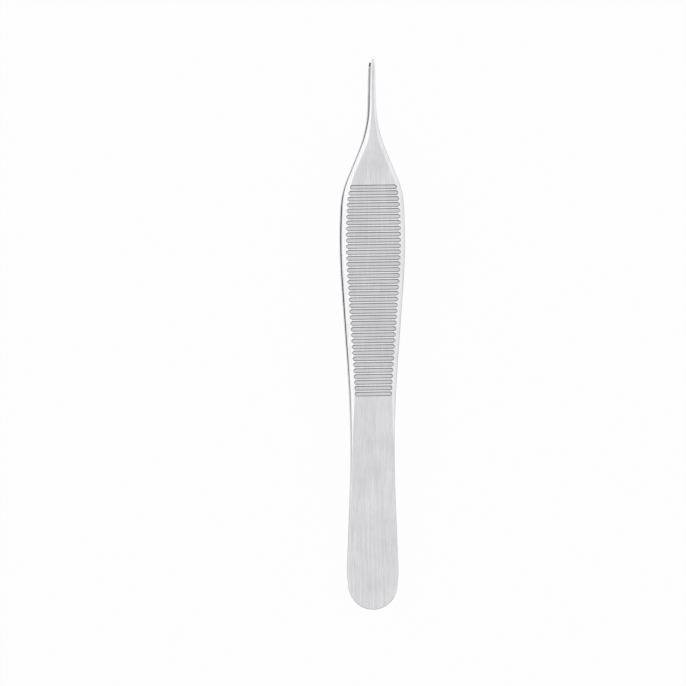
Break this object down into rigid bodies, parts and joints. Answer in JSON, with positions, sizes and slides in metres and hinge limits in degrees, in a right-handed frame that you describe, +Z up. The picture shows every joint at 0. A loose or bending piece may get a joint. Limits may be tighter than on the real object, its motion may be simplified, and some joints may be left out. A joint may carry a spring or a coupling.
{
  "type": "thumb forceps",
  "caption": "Slender-beaked thumb forceps: bowed spring arms welded at the rounded butt, with grooved finger grips and fine interlocking teeth at the tips.",
  "frame": {"origin": "middle of the footprint, on the surface that the forceps lies on", "axes": "+Y along the instrument from the welded butt towards the tips, +X across its width, +Z up from the surface, through the lower arm towards the upper one"},
  "size_m": [0.0138, 0.1202, 0.0126],
  "materials": {
    "upper_arm_steel": "satin, brushed along its length",
    "lower_arm_steel": "satin, brushed along its length"
  },
  "bodies": {
    "root": {"upper_arm": "upper_arm_steel", "lower_arm": "lower_arm_steel"}
  },
  "joints": []
}
